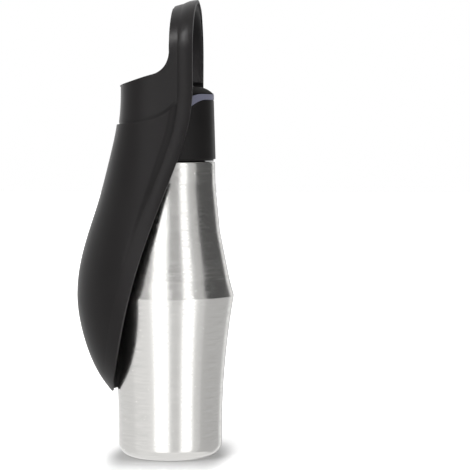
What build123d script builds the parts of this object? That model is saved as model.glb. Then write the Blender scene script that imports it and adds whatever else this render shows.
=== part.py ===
from build123d import *
import os
from math import cos, sin, sqrt

# Dog travel water bottle: a waisted double-wall steel flask with a screw cap, and a
# leaf-shaped drinking trough that hangs from two pins in the cap and lies against the
# back of the flask. The trough's upper end is the carrying loop.
# Millimetres. Z up, the flask's axis is Z, the base is at Z = 0, the front is -Y and
# the trough lies on +Y. The trough swings about the X direction.

# Flask
base_radius = 32.6
base_corner = 6.2
flare_sag = 2.1
bulge_radius = 40.2
crease_z = 101.5
crease_round = 0.8
waist_sag = 3.0
neck_radius = 28.3
shoulder_z = 185.5
shoulder_round = 1.6
throat_radius = 22.0
lip_rise = 15.5
steel_wall = 0.8
vacuum_gap = 2.6
foot_ring_radius = 18.5
base_recess = 1.2
plate_lap = 2.0
lip_thickness = 0.8
liner_clearance = 0.1
hidden_runs = 4

# Cap
seam_gap = 1.5
cap_radius = 28.7
cap_draft = 1.2
cap_wall = 2.4
skirt_height = 36.9
band_rise = 3.7
band_flat = 16.5
band_corner = 12.5
band_lower_flat = 13.6
band_lower_corner = 12.0
dome_rise = 4.8
dome_round = 3.9
dome_radius = 16.5
dome_fullness = 0.64
ceiling_rise = 1.2
pivot_rise = 33.0
thread_clearance = 0.9
insert_wall = 2.1
gasket_thickness = 1.6
gasket_width = 4.6
gasket_clearance = 0.3
deck_thickness = 2.0
collar_depth = 6.0
insert_foot_gap = 0.5
insert_foot_inset = 1.3
ledge_thickness = 2.0
ledge_width = 3.4
spigot_wall = 1.8
fit_clearance = 0.05
overshoot = 1.0

# Pivot
ear_reach = 29.3
ear_radius = 10.0
ear_tail = 14.0
ear_tail_radius = 2.0
ear_chamfer = 1.8
barrel_radius = 6.0
barrel_depth = 7.0
pin_radius = 2.8
pin_running_clearance = 0.06
pin_seat_clearance = 0.02
pin_in_cap = 4.5
pin_in_arm = 1.4
washer_thickness = 1.2
washer_radius = 5.2
boss_radius = 5.2
boss_gap = 0.3

# Pull-up valve
post_radius = 6.0
post_bore = 4.4
post_flange_radius = 9.0
post_flange = 1.6
post_drop = 1.0
post_lid = 1.6
plug_radius = 3.8
plug_drop = 0.8
port_width = 4.0
port_count = 4
knob_radius = 15.3
knob_top_radius = 9.4
knob_shoulder = 4.2
knob_rise = 3.8
knob_side = 2.6
knob_round_in = 2.2
knob_round_up = 2.6
knob_ceiling = 0.6
knob_clearance = 0.5
sleeve_clearance = 0.3
sleeve_wall = 1.8
well_wall = 1.6
well_depth = 9.5
ring_section = 1.2
ring_rise = 1.2
valve_travel = 5.0
vent_radius = 3.2
vent_stem = 1.3
vent_thickness = 0.8
vent_bead = 0.4
vent_bead_height = 1.0
vent_gap = 0.8

# Trough and carrying loop
trough_drop = 179.0
trough_wall = 2.5
panel_proud = 1.1
arm_clearance = 5.1
belly_room = 2.1
yoke_back = 31.6
bowl_depth = 18.4
tip_room = 2.9
tip_depth = 2.2
handle_front = 19.4
handle_back = 3.4
handle_spring = 32.8
handle_rise = 67.0
handle_half = 38.4
crown_radius = 45.5
crown_round = 5.0
crown_bulge = 0.8
grip_thickness = 3.5
grip_crown_thickness = 4.6
grip_inset = 0.5
grip_foot_rise = 12.3
grip_foot_half = 29.9
grip_foot_bend = 7.0
yoke_slope_rise = 18.8
yoke_corner_rise = 12.2
yoke_bend = 8.0
sweep_in = 1.2
sweep_up = 2.0
step_front_rise = 14.0
step_bend_fall = 6.5
step_back_fall = 9.8
rim_bead = 8.5
channel_width = 3.6
channel_mid_width = 3.0
channel_overlap = 0.5
bend_depth = 1.1
bend_start = 3.0
yoke_square = 0.76
belly_square = 0.60
shoulder_mid = 0.45
front_margin = 8.0

# Heights and places that follow from the sizes above
lip_z = shoulder_z + lip_rise
cap_z = shoulder_z + seam_gap
pivot_z = cap_z + pivot_rise
band_low_z = cap_z + skirt_height
band_high_z = band_low_z + band_rise
dome_z = band_high_z + dome_rise
knob_z = dome_z + knob_rise
deck_z = lip_z + gasket_thickness
ledge_z = deck_z + deck_thickness
spigot_z = ledge_z + ledge_thickness
cap_top_radius = cap_radius - cap_draft
cap_bore = cap_radius - cap_wall
insert_bore = throat_radius + thread_clearance
gasket_outer = insert_bore - gasket_clearance
gasket_bore = gasket_outer - gasket_width
vent_from_axis = gasket_bore - vent_gap - vent_radius
spigot_radius = cap_bore - fit_clearance
washer_x = ear_reach + washer_thickness
boss_x = washer_x + boss_gap
arm_inner = ear_reach + arm_clearance
yoke_half = arm_inner + trough_wall
pin_end_x = arm_inner + pin_in_arm
belly_half = bulge_radius + belly_room
belly_back = bulge_radius + bowl_depth
tip_front = base_radius + tip_room
tip_back = tip_front + tip_depth
spring_z = pivot_z + handle_spring
handle_z = pivot_z + handle_rise
reach = 80.0


def lathe(*outline):
    """Full turn about the flask's axis of a closed outline drawn as (radius, height)."""
    return revolve(Plane.XZ * make_face(outline), Axis.Z)


def ring(inner, outer, low, high):
    """Plain ring about the flask's axis."""
    return lathe(Polyline((inner, low), (outer, low), (outer, high), (inner, high), close=True))


def disc(radius, low, high):
    """Plain disc about the flask's axis."""
    return Pos(0, 0, (low + high) / 2) * Cylinder(radius, high - low)


def across(radius, start, end, height=0.0, along=0.0):
    """Round bar that runs in the X direction from start to end."""
    middle = (start + end) / 2
    bar = Cylinder(radius, abs(end - start), rotation=(0, 90, 0))
    return Pos(middle, along, height) * bar


def both_sides(piece):
    """The piece and its mirror image on the other side of the YZ plane."""
    return piece + mirror(piece, Plane.YZ)


def through_y(face):
    """Solid of an outline drawn as (x, z) that runs right through the object along Y."""
    return extrude(Plane.XZ * face, reach, both=True)


def through_x(face):
    """Solid of an outline drawn as (y, z) that runs right through the object along X."""
    return extrude(Plane.YZ * face, reach, both=True)


# ---- Flask ----

def bowed(start, end, sag):
    """Arc from start to end whose middle lies nearer to the axis by sag."""
    middle = ((start[0] + end[0]) / 2 - sag, (start[1] + end[1]) / 2)
    return ThreePointArc(start, middle, end)


def straight_runs(start, end, sag):
    """The same bow in a few straight runs, for a hidden wall."""
    arc = bowed(start, end, sag)
    return Polyline(*[arc @ (step / hidden_runs) for step in range(hidden_runs + 1)])


def bevelled(start, middle, end):
    """The same corner in two straight runs, for a hidden wall."""
    return Polyline(start, middle, end)


def flask_form(inset, throat, top):
    """Solid of the flask's shape drawn in by inset, with its throat open up to top."""
    side = straight_runs if inset > steel_wall else bowed
    bend = bevelled if inset else ThreePointArc
    base = base_radius - inset
    bulge = bulge_radius - inset
    neck = neck_radius - inset
    corner = base_corner - inset
    shoulder = shoulder_z - inset
    turn = shoulder_round
    diagonal = sqrt(0.5)
    foot = Line((0, inset), (base - corner, inset))
    heel_middle = (base - corner + corner * diagonal, inset + corner - corner * diagonal)
    heel = bend((base - corner, inset), heel_middle, (base, inset + corner))
    body = side((base, inset + corner), (bulge, crease_z), flare_sag)
    waist = side((bulge, crease_z), (neck, shoulder - turn), waist_sag)
    turn_middle = (neck - turn + turn * diagonal, shoulder - turn + turn * diagonal)
    shoulder_arc = bend((neck, shoulder - turn), turn_middle, (neck - turn, shoulder))
    rest = Polyline((neck - turn, shoulder), (throat, shoulder), (throat, top), (0, top), (0, inset))
    return lathe(foot, heel, body, waist, shoulder_arc, rest)


def outer_shell():
    """Spun outer wall with its crease, rolled foot ring and threaded throat."""
    outside = flask_form(0, throat_radius, lip_z - lip_thickness)
    crease = outside.edges().filter_by(GeomType.CIRCLE).filter_by(
        lambda edge: abs(edge.center().Z - crease_z) < 0.01
    )
    outside = fillet(crease, crease_round)
    inside = flask_form(steel_wall, throat_radius - steel_wall, lip_z + overshoot)
    return outside - inside - disc(foot_ring_radius, -overshoot, steel_wall + overshoot)


def base_plate():
    """Pressed disc that closes the foot, let into the rolled ring."""
    top = base_recess + steel_wall
    plate = disc(foot_ring_radius + plate_lap, base_recess, top)
    return plate + ring(foot_ring_radius, foot_ring_radius + plate_lap, steel_wall, base_recess)


def inner_liner():
    """Inner vessel that holds the water, hung in the outer wall from its rolled lip."""
    inset = steel_wall + vacuum_gap
    throat = throat_radius - steel_wall - liner_clearance
    vessel = flask_form(inset, throat, lip_z)
    lip = ring(throat - steel_wall, throat_radius, lip_z - lip_thickness, lip_z)
    cavity = flask_form(inset + steel_wall, throat - steel_wall, lip_z + overshoot)
    return vessel + lip - cavity


def neck_gasket():
    """Flat sealing ring that the cap presses on the flask's lip."""
    return ring(gasket_bore, gasket_outer, lip_z, deck_z)


# ---- Cap ----

def arch_face(flat, corner, crown_z, foot_half):
    """Outline under a flat-topped arch with round shoulders and legs that splay to a foot."""
    side = flat + corner
    turn = corner * sqrt(0.5)
    spring = crown_z - corner
    tail_z = pivot_z - ear_tail - ear_tail_radius
    low = cap_z - overshoot
    right = ThreePointArc((flat, crown_z), (flat + turn, spring + turn), (side, spring))
    left = ThreePointArc((-side, spring), (-flat - turn, spring + turn), (-flat, crown_z))
    legs = Polyline((side, spring), (foot_half, tail_z), (foot_half, low), (-foot_half, low),
                    (-foot_half, tail_z), (-side, spring))
    return make_face((right, legs, left, Line((-flat, crown_z), (flat, crown_z))))


def cap_blank():
    """Outer form of the closed cap: a drafted drum with a low dome and two pivot ears."""
    spring = (cap_top_radius, band_high_z)
    crown = (dome_radius, dome_z)
    middle = (cap_top_radius - dome_round, band_high_z + dome_rise * dome_fullness)
    dome = ThreePointArc(spring, middle, crown)
    side = Polyline(crown, (0, dome_z), (0, cap_z), (cap_radius, cap_z), spring)
    drum = lathe(dome, side)
    head = Pos(0, pivot_z) * Circle(ear_radius)
    tail = Pos(0, pivot_z - ear_tail) * Circle(ear_tail_radius)
    ear_outline = make_hull((head + tail).edges())
    ear = extrude(Plane.YZ.offset(cap_bore) * ear_outline, ear_reach - cap_bore)
    outer_edges = ear.faces().sort_by(Axis.X)[-1].edges()
    ear = chamfer(outer_edges, ear_chamfer)
    return drum + both_sides(ear)


def pivot_barrels(radius):
    """The round sockets in the cap that take the trough's pins, at the given radius."""
    return both_sides(across(radius, ear_reach - barrel_depth, ear_reach, pivot_z))


def under_band():
    """Everything below the lower edge of the accent band."""
    return through_y(arch_face(band_lower_flat, band_lower_corner, band_low_z, ear_reach + overshoot))


def under_top():
    """Everything below the upper edge of the accent band."""
    return through_y(arch_face(band_flat, band_corner, band_high_z, ear_reach + overshoot))


def cap_skirt(blank):
    """Drafted outer shell of the cap with the ledge that holds the insert and the top."""
    shell = blank & under_band()
    shell -= disc(cap_bore, cap_z - overshoot, dome_z)
    shell -= pivot_barrels(barrel_radius + fit_clearance)
    ledge = ring(cap_bore - ledge_width, cap_bore, ledge_z, spigot_z)
    return shell + ledge


def thread_insert():
    """Inner sleeve that screws on the throat, with a deck above and a foot under the skirt."""
    outer = cap_bore - fit_clearance
    low = shoulder_z + insert_foot_gap
    sleeve = ring(insert_bore, insert_bore + insert_wall, low, deck_z)
    foot = ring(insert_bore, cap_radius - insert_foot_inset, low, cap_z)
    deck = ring(post_radius + fit_clearance, outer, deck_z, ledge_z)
    collar = ring(insert_bore + insert_wall, outer, deck_z - collar_depth, deck_z)
    vent = Pos(0, vent_from_axis, deck_z) * Cylinder(vent_stem, deck_thickness * 4)
    return sleeve + foot + deck + collar - vent


def accent_gasket(blank):
    """Soft coloured band that arches over both ears and seals the top to the skirt."""
    band = (blank & under_top()) - under_band()
    band -= disc(cap_bore, cap_z - overshoot, dome_z)
    return band - pivot_barrels(barrel_radius + fit_clearance)


def cap_top(blank):
    """Domed top with the well of the valve, the spigot and the two pin sockets."""
    cover = blank - under_top()
    ceiling_z = band_high_z + ceiling_rise
    cover -= disc(spigot_radius - spigot_wall, cap_z - overshoot, ceiling_z)
    spigot = ring(spigot_radius - spigot_wall, spigot_radius, spigot_z, ceiling_z)
    cover = cover + spigot + pivot_barrels(barrel_radius)
    well_radius = knob_radius + knob_clearance
    floor_z = dome_z - well_depth
    low_z = floor_z - well_wall
    cover += disc(well_radius + well_wall, low_z, dome_z)
    cover -= disc(well_radius, floor_z, dome_z + overshoot)
    cover -= disc(post_radius + fit_clearance, low_z - overshoot, floor_z + overshoot)
    bore = pin_radius + pin_running_clearance
    socket = across(bore, ear_reach - pin_in_cap, ear_reach + overshoot, pivot_z)
    return cover - both_sides(socket)


def valve_post():
    """Fixed tube on the deck with side ports and the plug that closes the knob."""
    top = dome_z - post_drop
    lid_z = top - post_lid
    foot = ring(post_bore, post_flange_radius, ledge_z, ledge_z + post_flange)
    spout = ring(post_bore, post_radius, deck_z, top)
    plug = disc(post_radius, lid_z, top) + disc(plug_radius, top, knob_z - plug_drop)
    port = Pos(post_radius, 0, lid_z - valve_travel / 2) * Box(post_radius * 2, port_width, valve_travel)
    ports = [Rot(0, 0, 360 / port_count * turn) * port for turn in range(port_count)]
    return foot + spout + plug - ports


def vent_valve():
    """Mushroom valve under the deck that lets air in as the water runs out."""
    up = (Align.CENTER, Align.CENTER, Align.MIN)
    down = (Align.CENTER, Align.CENTER, Align.MAX)
    umbrella = Cylinder(vent_radius, vent_thickness, align=down)
    stem = Cylinder(vent_stem - fit_clearance, deck_thickness, align=up)
    bead = Pos(0, 0, deck_thickness) * Cylinder(vent_stem + vent_bead, vent_bead_height, align=up)
    return Pos(0, vent_from_axis, deck_z) * (umbrella + stem + bead)


def pivot_washers():
    """Plain washers between the cap's ears and the arms of the trough."""
    bar = across(washer_radius, ear_reach, washer_x, pivot_z)
    hole = across(pin_radius + pin_running_clearance, ear_reach - overshoot, washer_x + overshoot, pivot_z)
    return both_sides(bar - hole)


# ---- Valve knob ----

def valve_knob():
    """Pull-up knob: a low domed cap on a sleeve that slides on the post."""
    low = dome_z - knob_side
    hole = plug_radius + sleeve_clearance
    rim = (knob_radius, knob_z - knob_shoulder)
    top = (knob_top_radius, knob_z)
    middle = (knob_radius - knob_round_in, knob_z - knob_shoulder + knob_round_up)
    rest = Polyline(top, (hole, knob_z), (hole, low), (knob_radius, low), rim)
    knob = lathe(ThreePointArc(rim, middle, top), rest)
    bore = post_radius + sleeve_clearance
    sleeve_low = dome_z - well_depth + fit_clearance
    groove_low = sleeve_low + ring_rise
    knob += ring(bore, bore + sleeve_wall, sleeve_low, low)
    knob -= disc(bore, sleeve_low - overshoot, dome_z - knob_ceiling)
    return knob - ring(bore - overshoot, post_radius + ring_section, groove_low, groove_low + ring_section)


def valve_o_ring():
    """Square-section ring in the knob's sleeve that seals on the post."""
    low = dome_z - well_depth + fit_clearance + ring_rise
    return ring(post_radius + fit_clearance, post_radius + ring_section, low, low + ring_section)


# ---- Trough ----

# Stations from the yoke down to the belly: fall as a share of the trough's drop, then how
# far the half width and the depth have gone from the yoke's sizes to the belly's.
upper_stations = [
    (-0.07, 0.05, -0.02),
    (0.05, 0.0, 0.025),
    (0.19, 0.10, 0.23),
    (0.33, 0.30, 0.485),
    (0.47, 0.66, 0.79),
    (0.67, 1.0, 1.0),
]
# Stations from the belly to the tip: fall, share of the belly's half width, and share of
# the depth that is left behind the tip.
lower_stations = [
    (0.81, 0.955, 0.80),
    (0.895, 0.74, 0.545),
    (0.95, 0.50, 0.30),
    (1.0, 0.16, 0.0),
]


def trough_levels():
    """Height, half width, back and squareness of each station on the outer surface."""
    levels = [(spring_z, handle_half, yoke_back, yoke_square)]
    for fall, wider, deeper in upper_stations:
        half = yoke_half + (belly_half - yoke_half) * wider
        back = yoke_back + (belly_back - yoke_back) * deeper
        square = yoke_square + (belly_square - yoke_square) * max(deeper, 0)
        levels.append((pivot_z - trough_drop * fall, half, back, square))
    for fall, share, depth in lower_stations:
        back = tip_back + (belly_back - tip_back) * depth
        levels.append((pivot_z - trough_drop * fall, belly_half * share, back, belly_square))
    return levels


def shrunk_levels(wall):
    """The stations drawn in by a wall that is measured square to the surface."""
    levels = trough_levels()
    shrunk = [(spring_z, handle_half - wall, yoke_back - wall, yoke_square)]
    for above, level, below in zip(levels, levels[1:], levels[2:] + levels[-1:]):
        rise = above[0] - below[0]
        side_slope = (above[1] - below[1]) / rise
        back_slope = (above[2] - below[2]) / rise
        side_wall = wall * min(sqrt(1 + side_slope ** 2), 1.7)
        back_wall = wall * sqrt(1 + back_slope ** 2)
        shrunk.append((level[0], level[1] - side_wall, level[2] - back_wall, level[3]))
    return shrunk


def trough_section(height, half, back, square):
    """Level section: straight sides from the front, then one round bend to the back."""
    front = -handle_front - front_margin
    depth = min(bend_depth * half, back - bend_start)
    side = back - depth
    shoulder = side + depth * square
    right = Bezier((half, side), (half, shoulder), (half * square, back), (0, back))
    left = Bezier((0, back), (-half * square, back), (-half, shoulder), (-half, side))
    straight = Polyline((-half, side), (-half, front), (half, front), (half, side))
    return Pos(0, 0, height) * make_face((right, left, straight))


def loop_arch(wall):
    """Arch in front view, drawn in by wall: a flat crown arc and two tangent shoulders."""
    half = handle_half - wall
    crown = handle_z - wall
    bend = crown_radius - wall
    return arch_outline(half, crown, bend)


def arch_outline(half, crown, bend):
    """Filled arch on the spring line with the given half width, crown height and bend."""
    centre_z = crown - bend
    rise = spring_z - centre_z
    shoulder = (bend ** 2 - rise ** 2 - half ** 2) / (2 * (bend - half))
    stretch = bend / (bend - shoulder)
    join = ((half - shoulder) * stretch, centre_z + rise * stretch)
    middle = (half - shoulder + shoulder * cos(shoulder_mid), spring_z + shoulder * sin(shoulder_mid))
    right = ThreePointArc((half, spring_z), middle, join)
    crown_arc = ThreePointArc(join, (0, crown), (-join[0], join[1]))
    left = ThreePointArc((-join[0], join[1]), (-middle[0], middle[1]), (-half, spring_z))
    return make_face((right, crown_arc, left, Line((-half, spring_z), (half, spring_z))))


def trough_form(wall):
    """Solid of the trough, its yoke and the arch of its loop, drawn in by wall."""
    levels = shrunk_levels(wall) if wall else trough_levels()
    leaf = loft([trough_section(*level) for level in levels])
    return leaf + through_y(loop_arch(wall))


def rim_point(share, fall):
    """Point of the rim: share of the way from the loop's front to the tip's, and its fall."""
    return (-handle_front + (handle_front + tip_front) * share, pivot_z - trough_drop * fall)


def rim_line(shift):
    """The rim in side view, from the yoke down to the tip, moved back by shift."""
    points = [rim_point(0.0, -0.07), rim_point(0.106, 0.10), rim_point(0.336, 0.293),
              rim_point(0.52, 0.44), rim_point(0.73, 0.645), rim_point(0.92, 0.894), rim_point(1.0, 1.0)]
    moved = [(y + shift, z) for y, z in points]
    return Spline(*moved, tangents=((0, -1), (0.23, -1)))


def behind_rim(shift):
    """Everything behind the rim line moved back by shift, in side view."""
    rim = rim_line(shift)
    top, tip = rim @ 0, rim @ 1
    high = handle_z + front_margin
    low = tip.Y - front_margin
    frame = Polyline((tip.X, tip.Y), (tip.X, low), (reach, low), (reach, high), (top.X, high), (top.X, top.Y))
    return make_face((rim, frame))


def below_step():
    """Everything below the step line that parts the yoke from the bowl, in side view."""
    front = (-handle_front, pivot_z + step_front_rise)
    bend = (-handle_back, pivot_z - step_bend_fall)
    back = (yoke_back + front_margin, pivot_z - step_back_fall)
    line = Bezier(front, bend, (bend_start, bend[1]), back)
    low = pivot_z - trough_drop - front_margin
    frame = Polyline(back, (reach, back[1]), (reach, low), (front[0] - front_margin, low),
                     (front[0] - front_margin, front[1]), front)
    return make_face((line, frame))


def loop_profile():
    """What the yoke and the loop fill in side view, behind the rim and above the tip."""
    tip_z = pivot_z - trough_drop
    edge_z = pivot_z + yoke_corner_rise
    slope_z = pivot_z + yoke_slope_rise
    fore = -handle_front - overshoot
    rear = -handle_back
    edge = Polyline((fore, tip_z), (reach, tip_z), (reach, edge_z), (yoke_back, edge_z), (yoke_bend, slope_z))
    turn = (rear + sweep_in, slope_z + sweep_up)
    sweep = Bezier((yoke_bend, slope_z), turn, (rear, spring_z))
    back = Line((rear, spring_z), (rear, handle_z - crown_round))
    peak = (rear - crown_bulge, handle_z - crown_bulge)
    crown = Bezier((rear, handle_z - crown_round), peak, (fore, handle_z))
    front = Line((fore, handle_z), (fore, tip_z))
    return make_face((edge, sweep, back, crown, front))


def channel():
    """Side view of the shallow flute that runs beside the rim and fades out."""
    start = rim_point(0.02, -0.02)
    middle = rim_point(0.336, 0.293)
    end = rim_point(0.60, 0.515)
    high = (start[0] + rim_bead + channel_width, start[1])
    half_way = (middle[0] + rim_bead + channel_mid_width, middle[1])
    low = (end[0] + rim_bead - channel_overlap, end[1])
    fore = start[0] - front_margin
    frame = Polyline(low, (fore, low[1]), (fore, high[1]), high)
    return make_face((Spline(high, half_way, low), frame)) & behind_rim(rim_bead)


def trough_shell():
    """The whole moulded wall of trough, yoke and loop, cut to its rim in side view."""
    wall = trough_form(0) - trough_form(trough_wall)
    return wall & through_x(behind_rim(0) & loop_profile())


def pin_bosses():
    """Round bosses on the inside of the arms that hold the pins."""
    return both_sides(across(boss_radius, boss_x, arm_inner + overshoot, pivot_z))


def trough_frame(shell):
    """Loop, yoke and rim strips in one piece, with the bosses that hold the pins."""
    panel = behind_rim(rim_bead) & below_step()
    recess = behind_rim(rim_bead) - below_step()
    frame = shell - through_x(panel) - (through_x(recess) - trough_form(panel_proud))
    hole = across(pin_radius + pin_seat_clearance, boss_x - overshoot, pin_end_x, pivot_z)
    return frame + pin_bosses() - both_sides(hole)


def trough_bowl(shell):
    """Leaf-shaped bowl panel that stands proud of the yoke and is fluted beside the rim."""
    panel = behind_rim(rim_bead) & below_step()
    flute = through_x(channel()) - trough_form(panel_proud)
    return (shell & through_x(panel)) - flute - pin_bosses()


def grip_liner():
    """Soft grip inside the loop, ending in two feet beside the cap."""
    foot_z = pivot_z + grip_foot_rise
    bend_z = foot_z + grip_foot_bend
    low_z = foot_z - overshoot
    inset = trough_wall + grip_crown_thickness
    half = handle_half - trough_wall - grip_thickness
    foot = grip_foot_half
    right = Bezier((half, spring_z), (half, bend_z), (foot, foot_z))
    left = Bezier((-foot, foot_z), (-half, bend_z), (-half, spring_z))
    low = Polyline((foot, foot_z), (foot, low_z), (-foot, low_z), (-foot, foot_z))
    legs = make_face((right, low, left, Line((-half, spring_z), (half, spring_z))))
    opening = through_y(arch_outline(half, handle_z - inset, crown_radius - inset)) + through_y(legs)
    front = -handle_front + grip_inset
    back = -handle_back - grip_inset
    band = Pos((front + back) / 2, (foot_z + handle_z) / 2) * Rectangle(back - front, handle_z - foot_z)
    return (trough_form(trough_wall) & through_x(band & loop_profile())) - opening


def pivot_pins():
    """The two steel pins that join the trough's arms to the cap."""
    return both_sides(across(pin_radius, ear_reach - pin_in_cap, pin_end_x, pivot_z))


def save(name, piece):
    """Write one sub-part, with its bare solids when it has more than one."""
    solids = piece.solids()
    shape = solids[0] if len(solids) == 1 else Compound(children=list(solids))
    export_step(shape, "parts/" + name + ".step")


os.makedirs("parts", exist_ok=True)
cap_form = cap_blank()
trough_wall_form = trough_shell()
save("outer_shell", outer_shell())
save("base_plate", base_plate())
save("inner_liner", inner_liner())
save("neck_gasket", neck_gasket())
save("cap_skirt", cap_skirt(cap_form))
save("thread_insert", thread_insert())
save("accent_gasket", accent_gasket(cap_form))
save("cap_top", cap_top(cap_form))
save("valve_post", valve_post())
save("vent_valve", vent_valve())
save("pivot_washers", pivot_washers())
save("valve_knob", valve_knob())
save("valve_o_ring", valve_o_ring())
save("trough_frame", trough_frame(trough_wall_form))
save("trough_bowl", trough_bowl(trough_wall_form))
save("grip_liner", grip_liner())
save("pivot_pins", pivot_pins())
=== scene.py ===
import bpy
import bmesh
import numpy as np
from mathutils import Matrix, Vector


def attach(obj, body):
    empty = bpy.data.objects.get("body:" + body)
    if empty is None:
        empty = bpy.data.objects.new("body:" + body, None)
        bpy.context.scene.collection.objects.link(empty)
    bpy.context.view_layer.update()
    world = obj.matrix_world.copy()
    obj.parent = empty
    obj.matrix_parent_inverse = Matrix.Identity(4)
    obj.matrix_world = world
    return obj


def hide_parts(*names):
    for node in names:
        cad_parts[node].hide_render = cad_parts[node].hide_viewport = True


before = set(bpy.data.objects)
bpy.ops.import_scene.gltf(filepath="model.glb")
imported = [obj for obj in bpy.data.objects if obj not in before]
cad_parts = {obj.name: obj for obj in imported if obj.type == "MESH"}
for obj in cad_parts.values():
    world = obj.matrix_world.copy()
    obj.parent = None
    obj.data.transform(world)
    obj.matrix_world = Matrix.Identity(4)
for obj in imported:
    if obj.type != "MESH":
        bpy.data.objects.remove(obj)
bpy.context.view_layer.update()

# ---- Flask: outer wall ----
# A stainless tube, spun to a waist and a crease and brushed round its axis on the lathe.
# The foot is rolled under to a ring that it stands on. The throat carries the neck thread.

MM = 0.001
TURN = 2 * np.pi
MERGE = 2e-7
UV_PER_MM = 0.01


def eased(corners, radii, steps=6):
    """Outline through corners in which each corner is a quadratic curve that starts its
    radius before the corner and ends as far past it, with a support point on each side."""
    corners = np.asarray(corners, float)
    line = [corners[0]]
    for before, corner, after, radius in zip(corners, corners[1:], corners[2:], radii):
        back, on = before - corner, after - corner
        back_length, on_length = np.linalg.norm(back), np.linalg.norm(on)
        radius = min(radius, 0.45 * back_length, 0.45 * on_length)
        if radius <= 0:
            line.append(corner)
            continue
        start, end = corner + back / back_length * radius, corner + on / on_length * radius
        line.append(corner + back / back_length * min(radius * 1.5, back_length * 0.5))
        t = np.linspace(0, 1, steps)[:, None]
        line.extend((1 - t) ** 2 * start + 2 * t * (1 - t) * corner + t ** 2 * end)
        line.append(corner + on / on_length * min(radius * 1.5, on_length * 0.5))
    line.append(corners[-1])
    return np.array(line)


def bowed_side(start, end, sag, count):
    """Shallow arc from start to end: a parabola whose middle lies sag nearer to the axis."""
    t = np.linspace(0, 1, count)[:, None]
    line = np.array(start) * (1 - t) + np.array(end) * t
    line[:, 0] -= 4 * sag * (t * (1 - t))[:, 0]
    return line


def quads_of(rows, columns, around=False):
    """Corner numbers of every cell of a grid, with the last column joined to the first if around."""
    last = columns if around else columns - 1
    i, j = np.meshgrid(np.arange(rows - 1), np.arange(last), indexing="ij")
    k = (j + 1) % columns
    near, far = i * columns, (i + 1) * columns
    return np.stack([near + j, near + k, far + k, far + j], -1).reshape(-1, 4)


def finish_piece(name, points, quads, material, body, replaces=(), uv=None):
    """Mesh piece from points in millimetres and quads: doubles merged, faces turned outwards,
    shaded smooth."""
    mesh = bpy.data.meshes.new(name)
    mesh.from_pydata(np.asarray(points, float).reshape(-1, 3) * MM, [], quads.tolist())
    if uv is not None:
        layer = mesh.uv_layers.new(name="along")
        layer.data.foreach_set("uv", uv[quads.reshape(-1)].astype(np.float32).reshape(-1))
    work = bmesh.new()
    work.from_mesh(mesh)
    bmesh.ops.remove_doubles(work, verts=work.verts, dist=MERGE)
    bmesh.ops.recalc_face_normals(work, faces=work.faces)
    work.to_mesh(mesh)
    work.free()
    mesh.polygons.foreach_set("use_smooth", np.ones(len(mesh.polygons), bool))
    mesh.materials.append(material)
    piece = bpy.data.objects.new(name, mesh)
    bpy.context.scene.collection.objects.link(piece)
    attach(piece, body)
    if replaces:
        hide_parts(*replaces)
    return piece


def spun(name, profile, material, body, replaces=(), turns=192):
    """Ring turned on the lathe: each (radius, height) of the profile goes round the axis,
    x = radius cos angle, y = radius sin angle, and the profile closes on itself."""
    profile = np.vstack([profile, profile[:1]])
    angle = np.linspace(0, TURN, turns + 1)
    radius, height = profile[:, 0, None], profile[:, 1, None]
    points = np.stack([radius * np.cos(angle), radius * np.sin(angle), height + 0 * angle], -1)
    length = np.concatenate([[0], np.cumsum(np.linalg.norm(np.diff(profile, axis=0), axis=1))])
    uv = np.stack([np.broadcast_to(angle / TURN, points.shape[:2]),
                   np.broadcast_to(length[:, None] * UV_PER_MM, points.shape[:2])], -1).reshape(-1, 2)
    return finish_piece(name, points, quads_of(*points.shape[:2]), material, body, replaces, uv)


def nodes_of(name):
    """New material with its nodes, links and surface shader."""
    material = bpy.data.materials.new(name)
    material.use_nodes = True
    tree = material.node_tree
    return material, tree.nodes, tree.links, tree.nodes["Principled BSDF"]


def object_noise(nodes, links, scale, detail, stretch=(1, 1, 1)):
    """Noise on Object coordinates, in grains per metre, drawn out by stretch."""
    place = nodes.new("ShaderNodeTexCoord")
    mapping = nodes.new("ShaderNodeMapping")
    mapping.inputs["Scale"].default_value = stretch
    noise = nodes.new("ShaderNodeTexNoise")
    noise.inputs["Scale"].default_value = scale
    noise.inputs["Detail"].default_value = detail
    links.new(place.outputs["Object"], mapping.inputs["Vector"])
    links.new(mapping.outputs["Vector"], noise.inputs["Vector"])
    return noise


def spread(nodes, links, source, low, high, outputs=(0.3, 0.7)):
    """Noise between the two outputs turned to values between low and high."""
    ranged = nodes.new("ShaderNodeMapRange")
    ranged.inputs["From Min"].default_value, ranged.inputs["From Max"].default_value = outputs
    ranged.inputs["To Min"].default_value, ranged.inputs["To Max"].default_value = low, high
    links.new(source.outputs["Fac"], ranged.inputs["Value"])
    return ranged


def tinted(nodes, links, source, colour, change):
    """Colour that runs from itself to itself times change with the noise."""
    mix = nodes.new("ShaderNodeMix")
    mix.data_type = "RGBA"
    mix.inputs["A"].default_value = (*colour, 1)
    mix.inputs["B"].default_value = (*[c * change for c in colour], 1)
    links.new(source.outputs["Fac"], mix.inputs["Factor"])
    return mix


def roughen(nodes, links, shader, noise, strength, depth):
    """Bump from the noise, of the given depth in metres."""
    bump = nodes.new("ShaderNodeBump")
    bump.inputs["Strength"].default_value = strength
    bump.inputs["Distance"].default_value = depth
    links.new(noise.outputs["Fac"], bump.inputs["Height"])
    links.new(bump.outputs["Normal"], shader.inputs["Normal"])


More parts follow.
